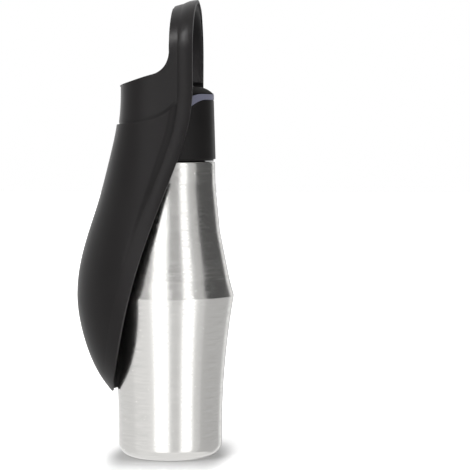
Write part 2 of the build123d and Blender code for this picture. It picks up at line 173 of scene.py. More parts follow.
def brushed_metal(name, colour, roughness, streak_depth):
    """Steel with scratches that run round the axis: two noises drawn out along x and y, long
    hair-fine ones in the bump and short broad ones in the tint and the roughness."""
    material, nodes, links, shader = nodes_of(name)
    shader.inputs["Metallic"].default_value = 1.0
    shader.inputs["Anisotropic"].default_value = 0.35
    fine = object_noise(nodes, links, 900, 3, (0.03, 0.03, 4))
    broad = object_noise(nodes, links, 900, 2, (0.10, 0.10, 1))
    uneven = spread(nodes, links, broad, roughness * 0.7, roughness * 1.35)
    links.new(uneven.outputs["Result"], shader.inputs["Roughness"])
    links.new(tinted(nodes, links, broad, colour, 0.84).outputs["Result"], shader.inputs["Base Color"])
    roughen(nodes, links, shader, fine, streak_depth, 0.03 * MM)
    return material


brushed_steel = brushed_metal("brushed_steel", (0.74, 0.73, 0.71), 0.20, 0.14)

FOOT_RING, FOOT_FLAT, FOOT_RADIUS, FOOT_LIP, HEEL = 18.5, 24.0, 32.6, 0.25, 8.6
CREASE_RADIUS, CREASE_Z, NECK_RADIUS, SHOULDER_Z = 40.2, 101.5, 28.3, 185.5
THROAT, THROAT_TOP, STEEL = 22.0, 200.2, 0.8
FLARE_SAG, WAIST_SAG, SIDE_ROWS = 2.1, 3.0, 56
heel_turn = np.linspace(-np.pi / 2, 0, 14)[:, None]
heel_arc = np.hstack([FOOT_FLAT + HEEL * np.cos(heel_turn), HEEL + HEEL * np.sin(heel_turn)])
crease_point, neck_point = (CREASE_RADIUS, CREASE_Z), (NECK_RADIUS, SHOULDER_Z - 2 * STEEL)
flare = bowed_side((FOOT_RADIUS, HEEL), crease_point, FLARE_SAG, SIDE_ROWS)
waist = bowed_side(crease_point, neck_point, WAIST_SAG, SIDE_ROWS)
crease = eased([flare[-3], flare[-1], waist[2]], [0.6], 7)[1:-1]
shoulder_corners = [waist[-2], (NECK_RADIUS - 0.02, SHOULDER_Z), (THROAT, SHOULDER_Z), (THROAT, THROAT_TOP)]
shoulder = eased(shoulder_corners, [1.7, 0.7], 9)[1:]
outside = np.vstack([heel_arc[:-1], flare[:-2], crease, waist[2:-2], shoulder])
inside_wall = [(THROAT - STEEL, THROAT_TOP), (THROAT - STEEL, SHOULDER_Z - STEEL),
               (NECK_RADIUS - 2 * STEEL, SHOULDER_Z - STEEL), (NECK_RADIUS - STEEL, SHOULDER_Z - 3 * STEEL),
               (31.4, 142), (CREASE_RADIUS - STEEL, CREASE_Z), (33.6, 53),
               (FOOT_RADIUS - STEEL, HEEL), (FOOT_FLAT, STEEL), (FOOT_RING, STEEL),
               (FOOT_RING, FOOT_LIP), (FOOT_RING + FOOT_LIP, 0)]
spun("flask_wall", np.vstack([outside, inside_wall]), brushed_steel, "flask",
     ["outer_shell"])

# ---- Flask: neck thread ----
# Three coarse starts rolled into the throat, each nine tenths of a turn long and run out at
# both ends. The cap climbs 10 mm in a turn on them.

LEAD, THREAD_LOW, THREAD_HEIGHT, THREAD_FOOT = 10.0, 188.5, 0.72, 2.6
THREAD_SUNK, RUN_OUT = 0.12, 0.1


def pointed(rows):
    """Grid of closed sections with one more at each end, drawn to the middle of the last."""
    first, last = (end * 0 + end.mean(1, keepdims=True) for end in (rows[:1], rows[-1:]))
    return np.concatenate([first, rows, last])


def rolled_thread(name, starts, turn_share, material, body):
    """Round-topped ridge carried up a helix: angle runs along it, half an ellipse goes across
    it, and its height falls as a sine to nothing over the run-out at each end."""
    along = np.linspace(0, 1, 150)[:, None]
    across = np.linspace(-1, 1, 11)[None, :]
    run_out = np.clip(np.minimum(along, 1 - along) / RUN_OUT, 0, 1)
    swell = np.sqrt(np.clip(1 - across ** 2, 0, 1)) * THREAD_HEIGHT * np.sin(run_out * np.pi / 2)
    radius = THROAT - THREAD_SUNK + swell
    height = THREAD_LOW + along * turn_share * LEAD + across * THREAD_FOOT / 2
    points, quads = [], []
    for start in range(starts):
        angle = TURN * (along * turn_share + start / starts) + 0 * across
        ridge = np.stack([radius * np.cos(angle), radius * np.sin(angle), height], -1)
        back = ridge * [0.992, 0.992, 1]
        closed = np.concatenate([ridge, back[:, ::-1]], axis=1)
        closed = pointed(closed)
        quads.append(quads_of(*closed.shape[:2], around=True) + sum(len(p) for p in points))
        points.append(closed.reshape(-1, 3))
    return finish_piece(name, np.vstack(points), np.vstack(quads), material, body)


rolled_thread("neck_thread", 3, 0.9, brushed_steel, "flask")

# ---- Flask: foot plate and inner vessel ----
# The foot plate is a pressed disc let into the ring. The inner vessel hangs in the outer
# wall from its rolled lip, with the vacuum between, and is left as it comes from the press.

satin_steel = brushed_metal("satin_steel", (0.60, 0.59, 0.58), 0.32, 0.06)


def refinish(node, material):
    """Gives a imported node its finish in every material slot."""
    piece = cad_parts[node]
    if not piece.material_slots:
        piece.data.materials.append(material)
    for place in piece.material_slots:
        place.material = material


refinish("base_plate", brushed_steel)
refinish("inner_liner", satin_steel)

# ---- Neck gasket ----
# Flat milky silicone ring under the deck, pressed on the lip when the cap is screwed down.


def moulded(name, colour, roughness, grain, grain_depth, sheen=0.0, gleam=0.16):
    """Moulded plastic or rubber: fine grain as bump, broad slow noise in roughness and tint,
    and gleam as the level of its mirror reflection."""
    material, nodes, links, shader = nodes_of(name)
    fine = object_noise(nodes, links, grain, 2)
    broad = object_noise(nodes, links, 70, 3)
    uneven = spread(nodes, links, broad, roughness * 0.93, roughness * 1.07)
    links.new(uneven.outputs["Result"], shader.inputs["Roughness"])
    links.new(tinted(nodes, links, broad, colour, 1.12).outputs["Result"], shader.inputs["Base Color"])
    shader.inputs["Sheen Weight"].default_value = sheen
    shader.inputs["Specular IOR Level"].default_value = gleam
    roughen(nodes, links, shader, fine, grain_depth, 0.05 * MM)
    return material


milky_silicone = moulded("milky_silicone", (0.62, 0.62, 0.60), 0.40, 1500, 0.1)
refinish("neck_gasket", milky_silicone)

# ---- Cap: skirt ----
# Drafted black drum, moulded with a fine grain, with a raised ear on each side that the
# pivot sits in. Its upper edge is a flat-topped arch that leaves room for the soft band.

black_drum = moulded("black_drum", (0.0095, 0.0088, 0.0088), 0.42, 2600, 0.30)
CAP_LOW, BAND_LOW, BAND_HIGH, DOME_Z, PIVOT_Z = 187.0, 223.9, 227.6, 232.4, 220.0
CAP_RADIUS, CAP_TOP_RADIUS, CAP_BORE, EAR_REACH = 28.7, 27.5, 26.3, 29.3
EAR_DROP, EAR_HEAD, EAR_TAIL, EAR_CHAMFER, EAR_FALL, EAR_JOIN = 14.0, 10.0, 2.0, 1.8, 3.0, 0.3
ARCH_FOOT_X, ARCH_FOOT_Z = 30.3, 204.0
EDGE_ROUND, BAND_GAP, BAND_STANDS = 0.55, 0.06, 0.12
CAP_COLUMNS = 720
cap_angle = np.linspace(0, TURN, CAP_COLUMNS + 1)[None, :]


def ear_distance(y, z):
    """Distance outside the ear's outline in side view: a large round head over a small round
    tail, and the straight flanks that touch both."""
    across, up = np.abs(y), z - (PIVOT_Z - EAR_DROP)
    lean = (EAR_TAIL - EAR_HEAD) / EAR_DROP
    upright = np.sqrt(1 - lean ** 2)
    along = -lean * across + upright * up
    tail = np.hypot(across, up) - EAR_TAIL
    head = np.hypot(across, up - EAR_DROP) - EAR_HEAD
    flank = across * upright + up * lean - EAR_TAIL
    return np.where(along < 0, tail, np.where(along > upright * EAR_DROP, head, flank))


def cap_surface(radius, z, angle):
    """Points of the cap's outside: the drum's radius, pushed out to the ear's flat face with
    its chamfer where that lies further out, the two joined by a small round. The ear's place
    depends on the reach, so it is found in three rounds."""
    reach = radius + 0 * angle
    for _ in range(3):
        away = ear_distance(reach * np.sin(angle), z)
        face = EAR_REACH - np.clip(away + EAR_CHAMFER, 0, EAR_CHAMFER) - np.clip(away, 0, None) * EAR_FALL
        out = face / np.maximum(np.abs(np.cos(angle)), 0.5)
        reach = (radius + out + np.sqrt((radius - out) ** 2 + EAR_JOIN)) / 2 - EAR_JOIN / 10
        reach = np.where(out < radius - 3, radius + 0 * out, reach)
    return np.stack([reach * np.cos(angle), reach * np.sin(angle), z + 0 * angle], -1)


def drum_radius(z):
    """Drafted side of the drum."""
    return CAP_RADIUS + (CAP_TOP_RADIUS - CAP_RADIUS) * (z - CAP_LOW) / (BAND_HIGH - CAP_LOW)


def arch_height(x, flat, corner, crown):
    """Height of a flat-topped arch in front view: level, then a quarter circle, then a splayed
    leg down to the arch's foot."""
    x = np.abs(x)
    spring, leg_x = crown - corner, flat + corner
    bend = spring + np.sqrt(np.clip(corner ** 2 - np.clip(x - flat, 0, corner) ** 2, 0, None))
    leg = spring + (x - leg_x) / (ARCH_FOOT_X - leg_x) * (ARCH_FOOT_Z - spring)
    return np.where(x < leg_x, bend, np.maximum(leg, ARCH_FOOT_Z))


def arch_edge(flat, corner, crown):
    """Height at which the arch's edge meets the cap's side, for every angle, found in eight
    rounds and then smoothed round the cap."""
    z = crown + 0 * cap_angle
    for _ in range(8):
        x = cap_surface(drum_radius(z), z, cap_angle)[..., 0]
        z = arch_height(x, flat, corner, crown)
    kernel = np.hanning(13) / np.hanning(13).sum()
    wrapped = np.concatenate([z[0, -7:-1], z[0, :-1], z[0, :7]])
    return np.convolve(wrapped, kernel, "valid")[None, :]


def turned_rows(radius, z):
    """Rows of points that go round the axis, one for each radius and height."""
    return np.stack([radius * np.cos(cap_angle), radius * np.sin(cap_angle), z + 0 * cap_angle], -1)


def drawn_in(points, inward):
    """Points moved towards the axis by a distance for each row."""
    unit = np.concatenate([np.cos(cap_angle), np.sin(cap_angle), 0 * cap_angle], 0).T[None]
    return points - unit * inward[..., None]


def cap_band(low, high, bulge):
    """Closed wall between two edges that run round the cap: up the outside, over a rounded
    edge, down the bore and back, for every angle."""
    share = np.linspace(0, 1, 40)[1:-1, None]
    rounding = np.array([(EDGE_ROUND, 0.0), (0.3, 0.03), (0.12, 0.12), (0.03, 0.3), (0.0, EDGE_ROUND)])
    straight = low + EDGE_ROUND + (high - low - 2 * EDGE_ROUND) * share
    z = np.concatenate([low + rounding[:, 1:], straight, high - rounding[::-1, 1:]])
    inward = np.concatenate([rounding[:, :1], 0 * share, rounding[::-1, :1]])
    outer = drawn_in(cap_surface(drum_radius(z) + bulge, z, cap_angle), inward)
    bore_low, bore_high = turned_rows(CAP_BORE, z[:1]), turned_rows(CAP_BORE, z[-1:])
    return np.concatenate([bore_low, outer, bore_high, bore_low])


low_edge = arch_edge(13.6, 12.0, BAND_LOW)
high_edge = arch_edge(16.5, 12.5, BAND_HIGH)
skirt_wall = cap_band(CAP_LOW + 0 * cap_angle, low_edge - BAND_GAP, 0.0)
finish_piece("cap_drum", skirt_wall, quads_of(*skirt_wall.shape[:2]), black_drum, "cap",
             ["cap_skirt"])

# ---- Cap: inner sleeve ----
# Plain black sleeve with the female thread, closed by the deck that the valve post stands on.

plain_black = moulded("plain_black", (0.014, 0.0135, 0.0135), 0.48, 1800, 0.15)
refinish("thread_insert", plain_black)

# ---- Cap: soft band ----
# Lavender-grey silicone ring that arches over both ears. It stands a hair proud of the drum
# and its rolled edges catch the light.

lavender_silicone = moulded("lavender_silicone", (0.155, 0.158, 0.215), 0.50, 1900, 0.25, sheen=0.1)
band_wall = cap_band(low_edge + BAND_GAP, high_edge - BAND_GAP, BAND_STANDS)
finish_piece("soft_band", band_wall, quads_of(*band_wall.shape[:2]), lavender_silicone, "cap",
             ["accent_gasket"])

# ---- Cap: top ----
# Low dome snapped into the drum through the band, with the well that the knob sits in.

DOME_RADIUS, WELL_RADIUS, WELL_FLOOR, POST_HOLE, FLOOR_WALL = 16.5, 15.8, 222.9, 6.05, 1.6
CROWN_EDGE, CROWN_START, CROWN_LAP = 0.35, 0.3, 0.1
DOME_MIDDLE = (CAP_TOP_RADIUS - 3.9, BAND_HIGH + 3.07)


def circle_through(a, b, c, count):
    """Arc from a through b to c: its centre is where the two chords' bisectors meet."""
    a, b, c = (np.array(p, float) for p in (a, b, c))
    centre = np.linalg.solve(2 * np.array([b - a, c - a]), [b @ b - a @ a, c @ c - a @ a])
    first, last = (np.arctan2(*(p - centre)[::-1]) for p in (a, c))
    turn = np.linspace(first, last, count)
    return centre + np.linalg.norm(a - centre) * np.stack([np.cos(turn), np.sin(turn)], -1)


def cap_crown():
    """Closed wall of the cap's top: from the band's upper edge up the side, over the dome and
    down into the well, then back under the floor to the bore, for every angle."""
    start = high_edge + BAND_GAP
    rounding = np.array([(1.2, 0.0), (0.5, 0.0), (0.25, 0.03), (0.08, 0.12), (0.0, CROWN_EDGE)])
    share = np.linspace(0, 1, 26)[1:, None]
    rise = BAND_HIGH + CROWN_LAP - start - CROWN_EDGE
    side_z = np.concatenate([start + rounding[:, 1:], start + CROWN_EDGE + rise * share])
    inward = np.concatenate([rounding[:, :1], 0 * share])
    side = drawn_in(cap_surface(drum_radius(np.minimum(side_z, BAND_HIGH)), side_z, cap_angle), inward)
    dome = circle_through((CAP_TOP_RADIUS, BAND_HIGH), DOME_MIDDLE, (DOME_RADIUS, DOME_Z), 40)
    dome = dome[dome[:, 1] > BAND_HIGH + CROWN_START]
    over = cap_surface(dome[:, :1], dome[:, 1:], cap_angle)
    well_corners = [(DOME_RADIUS, DOME_Z), (WELL_RADIUS, DOME_Z), (WELL_RADIUS, WELL_FLOOR),
                    (POST_HOLE, WELL_FLOOR)]
    well = eased(well_corners, [0.3, 0.5], 5)
    under = [(POST_HOLE, WELL_FLOOR - FLOOR_WALL), (WELL_RADIUS + FLOOR_WALL, WELL_FLOOR - FLOOR_WALL),
             (WELL_RADIUS + FLOOR_WALL, DOME_Z - 2.4), (22.5, DOME_Z - 3.2), (24.4, BAND_HIGH + 1.2)]
    turned = np.vstack([well[1:], under])
    inner = side[:1] * [0.93, 0.93, 1]
    return np.concatenate([inner, side, over, turned_rows(turned[:, :1], turned[:, 1:]), inner])


top_wall = cap_crown()
# Painted shade: the drum's black with its reflection turned almost off, so the dome reads darker.
shaded_black_dome = moulded("shaded_black_dome", (0.0095, 0.0088, 0.0088), 0.42, 2600, 0.30, gleam=0.02)
finish_piece("cap_dome", top_wall, quads_of(*top_wall.shape[:2]), shaded_black_dome, "cap",
             ["cap_top"])

# ---- Cap: valve post, vent and pivot washers ----
# The post stands on the deck and its plug closes the knob. The vent is a small silicone
# mushroom. The washers are dark acetal and keep the arms off the ears.

dark_acetal = moulded("dark_acetal", (0.018, 0.018, 0.018), 0.34, 1200, 0.05)
refinish("valve_post", plain_black)
refinish("vent_valve", milky_silicone)
refinish("pivot_washers", dark_acetal)

# ---- Valve knob ----
# Low round knob with full shoulders. It lifts 5 mm on the post to let the water out and has
# a silicone ring in its sleeve.

satin_knob = moulded("satin_knob", (0.009, 0.0085, 0.0085), 0.40, 2400, 0.22)
KNOB_RADIUS, KNOB_TOP, KNOB_Z, PLUG_HOLE = 15.3, 9.4, 236.2, 4.1
SLEEVE_BORE, SLEEVE_RADIUS, SLEEVE_FOOT = 6.3, 8.1, 222.95
knob_ceiling, knob_rim = DOME_Z - 0.6, DOME_Z - 2.6
shoulder_low, shoulder_middle = (KNOB_RADIUS, KNOB_Z - 4.2), (KNOB_RADIUS - 2.2, KNOB_Z - 1.6)
knob_shoulder = circle_through(shoulder_low, shoulder_middle, (KNOB_TOP, KNOB_Z), 16)
knob_top = eased([knob_shoulder[-1], (PLUG_HOLE, KNOB_Z), (PLUG_HOLE, knob_ceiling)], [0.4], 6)
knob_under = [(SLEEVE_BORE, knob_ceiling), (SLEEVE_BORE, SLEEVE_FOOT),
              (SLEEVE_RADIUS, SLEEVE_FOOT), (SLEEVE_RADIUS, knob_rim)]
knob_side = eased([(SLEEVE_RADIUS, knob_rim), (KNOB_RADIUS, knob_rim), tuple(knob_shoulder[0])], [0.4], 5)
spun("pull_knob", np.vstack([knob_shoulder, knob_top[1:], knob_under, knob_side[1:-1]]), satin_knob,
     "valve", ["valve_knob"], turns=128)
refinish("valve_o_ring", milky_silicone)

# ---- Trough: the moulded form ----
# One satin black form: a leaf-shaped bowl, the yoke that goes round the cap and the loop.
# It is described once, by how far a point lies from the front rim along the wall and how
# high, and the pieces below are cut from that grid.

PROUD, WALL, BEAD, LOOP_WIDTH = 1.1, 2.5, 8.5, 14.4
FRONT, SPRING_Z, CROWN_Z, CROWN_FALL, TIP_Z = -17.8, 252.8, 287.0, 3.8, 41.0
LOOP_HALF, CROWN_BEND, ON_MIDDLE = 38.4, 45.5, 1e-6
leaf_z = np.array([41.0, 49.95, 59.8, 75.0, 100.07, 135.87, 160.93, 185.99, 211.05, 232.53, 252.8])
leaf_half = np.array([14.4, 26.2, 34.25, 40.8, 42.3, 40.46, 38.52, 37.44, 36.9, 37.17, 38.4])
leaf_back = np.array([37.7, 43.97, 49.09, 54.42, 58.6, 52.93, 44.7, 37.81, 32.28, 31.1, 31.6])
leaf_square = np.array([0.6, 0.6, 0.6, 0.6, 0.6, 0.634, 0.682, 0.723, 0.756, 0.76, 0.76])
rim_z = np.array([41.0, 59.97, 104.55, 141.24, 167.55, 202.1, 232.53])
rim_y = np.array([35.5, 31.13, 20.68, 9.17, -0.96, -13.59, -17.8])


def smooth_curve(knots, values, start_slope, end_slope):
    """Cubic spline through the values: the slopes at the knots make the curvature continuous."""
    step = np.diff(knots)
    rise = np.diff(values) / step
    count = len(knots)
    system = np.eye(count)
    target = np.zeros(count)
    target[0], target[-1] = start_slope, end_slope
    inner = np.arange(1, count - 1)
    system[inner, inner - 1] = step[1:]
    system[inner, inner] = 2 * (step[1:] + step[:-1])
    system[inner, inner + 1] = step[:-1]
    target[1:-1] = 3 * (rise[:-1] * step[1:] + rise[1:] * step[:-1])
    slopes = np.linalg.solve(system, target)

    def curve(at):
        """Value of the spline at each point."""
        at = np.clip(at, knots[0], knots[-1])
        cell = np.clip(np.searchsorted(knots, at, side="right") - 1, 0, count - 2)
        t = (at - knots[cell]) / step[cell]
        low, high = values[cell], values[cell + 1]
        return (low * (1 + 2 * t) * (1 - t) ** 2 + slopes[cell] * step[cell] * t * (1 - t) ** 2
                + high * t ** 2 * (3 - 2 * t) - slopes[cell + 1] * step[cell] * t ** 2 * (1 - t))

    return curve


half_at = smooth_curve(leaf_z, leaf_half, 1.5, 0.0)
back_at = smooth_curve(leaf_z, leaf_back, 0.75, 0.02)
square_at = smooth_curve(leaf_z, leaf_square, 0.0, 0.0)
rim_at = smooth_curve(rim_z, rim_y, -0.23, 0.0)


def cubic(t, start, leave, arrive, end):
    """Curve from start to end, drawn towards the values leave and arrive on the way: the four
    are weighted by the terms of ((1 - t) + t) cubed."""
    return ((1 - t) ** 3 * start + 3 * (1 - t) ** 2 * t * leave
            + 3 * (1 - t) * t ** 2 * arrive + t ** 3 * end)


def leaf_point(z, away):
    """Outer wall of the leaf at height z, a distance away from the front rim along the level
    section: straight along y, then one cubic bend that ends square to x = 0. A distance past
    the middle counts as the middle. Found by measuring the section in short runs."""
    flat_z, flat_away = z.reshape(-1, 1), away.reshape(-1, 1)
    half, back, square = half_at(flat_z), back_at(flat_z), square_at(flat_z)
    depth = np.minimum(1.1 * half, back - 3.0)
    side = back - depth
    t = np.linspace(0, 1, 90)[None, :]
    bend_x = cubic(t, half, half, half * square, 0 * half)
    bend_y = cubic(t, side, side + depth * square, back, back)
    x = np.concatenate([half, bend_x], 1)
    y = np.concatenate([side - 45, bend_y], 1)
    run = np.concatenate([0 * half, np.cumsum(np.hypot(np.diff(x), np.diff(y)), 1)], 1)
    span = run.max() + 50
    row = np.arange(len(run))[:, None] * span
    rim = rim_at(flat_z)
    start = np.interp((rim + row * 2).ravel(), (y + row * 2).ravel(), run.ravel())[:, None]
    at = np.minimum(start + flat_away, run[:, -1:])
    keys = (run + row).ravel()
    found_x = np.interp((at + row).ravel(), keys, x.ravel())
    found_y = np.interp((at + row).ravel(), keys, y.ravel())
    point = np.stack([found_x, found_y, flat_z[:, 0]], -1).reshape(*z.shape, 3)
    return point, (run[:, -1:] - start).reshape(z.shape)


step_t = np.linspace(0, 1, 200)
step_y = cubic(step_t, FRONT, -0.5, 1.0, 39.6)
step_z = cubic(step_t, 234.0, 210.5, 210.5, 208.2)
sweep_t = np.linspace(0, 1, 80)
sweep_y = (1 - sweep_t) ** 2 * -3.4 + 2 * (1 - sweep_t) * sweep_t * -2.2 + sweep_t ** 2 * 8.0
sweep_z = (1 - sweep_t) ** 2 * SPRING_Z + 2 * (1 - sweep_t) * sweep_t * 240.8 + sweep_t ** 2 * 238.8
sweep_y, sweep_z = np.append(sweep_y, 31.6), np.append(sweep_z, 233.2)
corner_y = [-6.0, -5.3, -4.7, -4.2, -3.8, -3.55, -3.4]
corner_z = [289, 283.6, 283.2, 282.8, 282.2, 281.6, 280.6]


def loop_arch(half, crown, bend, share):
    """Half of an arch in front view, as x and z at each share of its length: a shoulder arc
    that leaves the spring line upright, then the flatter crown arc that it is tangent to."""
    centre = crown - bend
    rise = SPRING_Z - centre
    turn = (bend ** 2 - rise ** 2 - half ** 2) / (2 * (bend - half))
    meet = np.arctan2(rise, half - turn)
    along = share * (turn * meet + bend * (np.pi / 2 - meet))
    first, second = along / turn, meet + (along - turn * meet) / bend
    on_turn = along < turn * meet
    x = np.where(on_turn, half - turn + turn * np.cos(first), bend * np.cos(second))
    z = np.where(on_turn, SPRING_Z + turn * np.sin(first), centre + bend * np.sin(second))
    return x, z


BOWL_ROWS, YOKE_ROWS, ARCH_ROWS = 130, 34, 64
bead_columns = np.array([0, 0.25, 0.6, 1.2, 2.4, 3.8, 5.2, 6.6, 7.6, 8.1, BEAD])
back_columns = np.array([8.75, 9.0, 9.3, 9.7, 10.4, 11.2, 11.8, 12.3, 12.7, 13.1, 13.4, 13.7, 14.0,
                         LOOP_WIDTH])
REST_COLUMNS = 54
rest_share = (np.arange(1, REST_COLUMNS + 1) / REST_COLUMNS) ** 1.5


def leaf_rows(share, low_of, high_of):
    """Grid whose rows run between two lines drawn in side view. The height of a point depends
    on how far back it lies, so it is found in a few rounds."""
    columns = len(bead_columns) + len(back_columns) + REST_COLUMNS
    z = np.full((len(share), columns), 200.0)
    fixed = np.concatenate([bead_columns, back_columns])
    for _ in range(7):
        _, length = leaf_point(z, 0 * z)
        rest = LOOP_WIDTH + np.clip(length[:, len(fixed):] - LOOP_WIDTH, 0, None) * rest_share
        away = np.concatenate([np.broadcast_to(fixed, (len(share), len(fixed))), rest], 1)
        away = np.minimum(away, length)
        point, _ = leaf_point(z, away)
        low, high = low_of(point[..., 1]), high_of(point[..., 1])
        z = low + (high - low) * share[:, None]
    return leaf_point(z, away)[0], away


def crown_height(y):
    """Height of the loop's crown, which falls in a straight line from front to back."""
    return CROWN_Z - CROWN_FALL * (y - FRONT) / LOOP_WIDTH


def back_corner(y):
    """Line that rounds the loop's upper back corner in side view."""
    return np.interp(y, corner_y, corner_z)


def tip_line(y):
    """Level line of the tip."""
    return 0 * y + TIP_Z


def step_line(y):
    """The step that parts the yoke from the bowl."""
    return np.interp(y, step_y, step_z)


def yoke_line(y):
    """Upper edge of the yoke, swept up to the loop."""
    return np.interp(y, sweep_y, sweep_z)


bowl_share = 1 - np.cos(np.linspace(0, 1, BOWL_ROWS) ** 0.9 * np.pi / 2)
bowl_grid, bowl_away = leaf_rows(bowl_share, tip_line, step_line)
yoke_grid, yoke_away = leaf_rows(np.linspace(0, 1, YOKE_ROWS), step_line, yoke_line)
arch_away = np.broadcast_to(np.minimum(yoke_away[-1:], LOOP_WIDTH), (ARCH_ROWS, yoke_away.shape[1]))
arch_y, arch_rows = FRONT + arch_away, np.linspace(0, 1, ARCH_ROWS)[:, None]
arch_x, arch_z = loop_arch(LOOP_HALF, crown_height(arch_y), CROWN_BEND, arch_rows)
arch_grid = np.stack([arch_x, arch_y, np.minimum(arch_z, back_corner(arch_y))], -1)
trough_grid = np.concatenate([bowl_grid, yoke_grid[1:], arch_grid[1:]])
trough_away = np.concatenate([bowl_away, yoke_away[1:], arch_away[1:]])
STEP_ROW, SPRING_ROW = BOWL_ROWS - 1, BOWL_ROWS + YOKE_ROWS - 2


def wall_normals(grid):
    """Outward unit normals of a grid: the cross product of the steps along rows and columns."""
    normal = np.cross(np.gradient(grid, axis=1), np.gradient(grid, axis=0))
    normal /= np.maximum(np.linalg.norm(normal, axis=-1, keepdims=True), 1e-9)
    middle = np.abs(grid[..., 0]) < ON_MIDDLE
    normal[middle, 0] = 0
    normal /= np.maximum(np.linalg.norm(normal, axis=-1, keepdims=True), 1e-9)
    return normal


def cells(mask, columns):
    """Corner numbers of the grid cells that the mask keeps."""
    i, j = np.nonzero(mask)
    near, far = i * columns + j, (i + 1) * columns + j
    return np.stack([near, near + 1, far + 1, far], -1)


def walled(name, outer, inner, mask, material, body, replaces, edge):
    """Both halves of a moulded wall: the kept cells of the outer and inner grids, sides along
    every free edge but the middle, the mirror image, and rounded edges."""
    columns = outer.shape[1]
    quads = cells(mask, columns)
    edges = np.concatenate([quads[:, [0, 1]], quads[:, [1, 2]], quads[:, [2, 3]], quads[:, [3, 0]]])
    code = np.sort(edges, 1) @ np.array([10 ** 7, 1])
    _, first, times = np.unique(code, return_index=True, return_counts=True)
    free = edges[first[times == 1]]
    points = outer.reshape(-1, 3)
    on_middle = (np.abs(points[free]) < ON_MIDDLE)[..., 0].all(1)
    free = free[~on_middle]
    count = len(points)
    sides = np.stack([free[:, 1], free[:, 0], free[:, 0] + count, free[:, 1] + count], -1)
    half = np.vstack([points, inner.reshape(-1, 3)])
    faces = np.vstack([quads, quads[:, ::-1] + count, sides])
    used, renumbered = np.unique(faces, return_inverse=True)
    half, faces = half[used], renumbered.reshape(-1, 4)
    both = np.vstack([half, half * [-1, 1, 1]])
    faces = np.vstack([faces, faces[:, ::-1] + len(half)])
    piece = finish_piece(name, both, faces, material, body, replaces)
    bevel = piece.modifiers.new("rounded_edges", "BEVEL")
    bevel.width = edge * MM
    bevel.segments = 3
    bevel.limit_method = "ANGLE"
    bevel.angle_limit = np.radians(50)


trough_normal = wall_normals(trough_grid)
wall_depth = np.interp(trough_grid[..., 2:], [41, 47, 56, 70], [0.9, 1.2, 1.9, WALL])
trough_inner = trough_grid - trough_normal * wall_depth
trough_inner[np.abs(trough_grid[..., 0]) < ON_MIDDLE, 0] = 0
row_number = np.arange(trough_grid.shape[0] - 1)[:, None]
row_of_point = np.arange(trough_grid.shape[0])[:, None]
column_away = np.concatenate([bead_columns, back_columns, 99 + np.arange(REST_COLUMNS)])[None, :-1]
cell_width = np.diff(trough_away, axis=1)
real_cell = (cell_width[:-1] > ON_MIDDLE) | (cell_width[1:] > ON_MIDDLE)

# ---- Trough: frame ----
# Loop, yoke and rim strips in one moulding. A flat strip runs up the front of the loop and
# down each rim to the tip, and the yoke behind it lies a little deeper than the bowl.

satin_frame = moulded("satin_frame", (0.0118, 0.0108, 0.0110), 0.36, 2400, 0.22, gleam=0.18)
strip_fade = np.clip((trough_grid[..., 2] - 122) / 50, 0, 1)
crown_at = np.clip(trough_away / BEAD, 0, 1)
sunk = 0.55 * strip_fade * (2 * crown_at - 1) ** 2
deeper = np.clip((trough_away - BEAD) / 0.6, 0, 1)
deeper = deeper * deeper * (3 - 2 * deeper) * np.where(row_of_point >= STEP_ROW, 1, 0)
loop_fade = 1 - np.clip((trough_grid[..., 2] - 250) / 24, 0, 1)
sunk += deeper * (PROUD * (0.5 + 0.5 * loop_fade) - 0.55)
above_step = trough_grid[..., 2] - step_line(trough_grid[..., 1])
groove = np.exp(-((above_step - 0.5) / 0.9) ** 2) * np.clip((trough_away - BEAD - 0.5) / 1.5, 0, 1)
sunk += 0.5 * np.where(row_of_point >= STEP_ROW, groove, 0)
rim_cells = (row_number < STEP_ROW) & (column_away < BEAD)
yoke_cells = (row_number >= STEP_ROW) & (row_number < SPRING_ROW)
loop_cells = (row_number >= SPRING_ROW) & (column_away < LOOP_WIDTH)
frame_mask = (rim_cells | yoke_cells | loop_cells) & real_cell
frame_outer = trough_grid - trough_normal * sunk[..., None]
walled("loop_and_rim", frame_outer, trough_inner, frame_mask, satin_frame, "trough",
       ["trough_frame"], 0.5)

# ---- Trough: bowl ----
# The drinking bowl is the leaf-shaped panel between the rims. It stands proud of the yoke
# with a rounded upper edge, and a shallow flute beside each rim fades out half way down.

satin_bowl = moulded("satin_bowl", (0.0118, 0.0108, 0.0110), 0.38, 2400, 0.22)
flute_fade = np.clip((trough_grid[..., 2] - 118) / 70, 0, 1)
flute_at = np.clip((trough_away - BEAD) / (2.2 + 2.6 * flute_fade), 0, 1)
flute = 1.35 * flute_fade ** 0.8 * (1 - flute_at ** 2 * (3 - 2 * flute_at))
bowl_mask = (row_number < STEP_ROW) & (column_away >= BEAD) & real_cell
bowl_outer = trough_grid - trough_normal * flute[..., None]
walled("leaf_bowl", bowl_outer, trough_inner, bowl_mask, satin_bowl, "trough",
       ["trough_bowl"], 0.35)

# ---- Trough: pin bosses ----
# Round bosses on the inside of the arms, moulded with the frame, that hold the pins.


def turned_on_pivot(name, outline, material, body, replaces=()):
    """Pair turned about the pivot's line, one on each side: the outline gives (radius, x)."""
    angle = np.linspace(0, TURN, 65)[None, :]
    radius, x = np.array(outline)[:, :1], np.array(outline)[:, 1:]
    right = np.stack([x + 0 * angle, radius * np.cos(angle), PIVOT_Z + radius * np.sin(angle)], -1)
    quads = quads_of(*right.shape[:2])
    both = np.vstack([right.reshape(-1, 3), right.reshape(-1, 3) * [-1, 1, 1]])
    quads = np.vstack([quads, quads[:, ::-1] + right.shape[0] * right.shape[1]])
    return finish_piece(name, both, quads, material, body, replaces)


